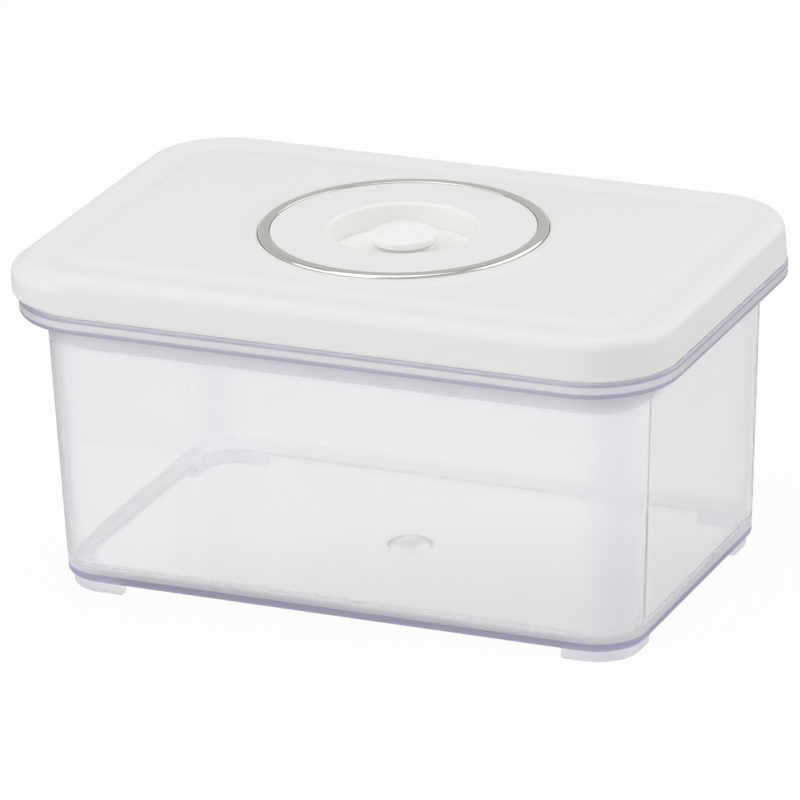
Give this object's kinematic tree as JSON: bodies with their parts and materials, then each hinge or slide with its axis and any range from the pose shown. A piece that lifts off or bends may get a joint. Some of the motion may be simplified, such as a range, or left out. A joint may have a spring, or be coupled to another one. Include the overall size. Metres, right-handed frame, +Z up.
{
  "type": "vacuum seal canister",
  "caption": "Clear rectangular food tub with a white lift-off lid, a round pump seat with a bright trim ring, and a lift valve in the seat's well.",
  "frame": {"origin": "under the middle of the tub, on the surface that it stands on", "axes": "+X along the tub, away from the pull lip; +Y across it, away from the picture's viewer; +Z up"},
  "size_m": [0.1982, 0.1296, 0.1008],
  "materials": {
    "clear_plastic": "clear and glossy, faintly violet in thick edges",
    "white_plastic": "satin",
    "pale_plastic": "satin",
    "liner_plastic": "satin",
    "button_plastic": "smooth, a little glossier than the lid",
    "soft_seal": "matte white silicone",
    "bright_trim": "polished plating",
    "spring_steel": "drawn stainless wire"
  },
  "bodies": {
    "tub": {"tub": "clear_plastic"},
    "lid": {"lid_shell": "white_plastic", "trim_ring": "bright_trim", "pump_seat": "white_plastic", "valve_plate": "pale_plastic", "plate_seal": "soft_seal", "lid_liner": "liner_plastic", "lid_gasket": "soft_seal", "valve_spring": "spring_steel"},
    "valve": {"valve_button": "button_plastic", "valve_seal": "soft_seal", "valve_retainer": "spring_steel"}
  },
  "joints": [
    {"name": "lid_lift", "type": "slide", "parent": "tub", "child": "lid", "axis": [0, 0, 1], "range_m": [0, 0.12]},
    {"name": "valve_lift", "type": "slide", "parent": "lid", "child": "valve", "axis": [0, 0, 1], "range_m": [0, 0.0025], "stiffness_N_per_m": 120, "springref_m": -0.003, "deforming": ["valve_spring"]}
  ]
}
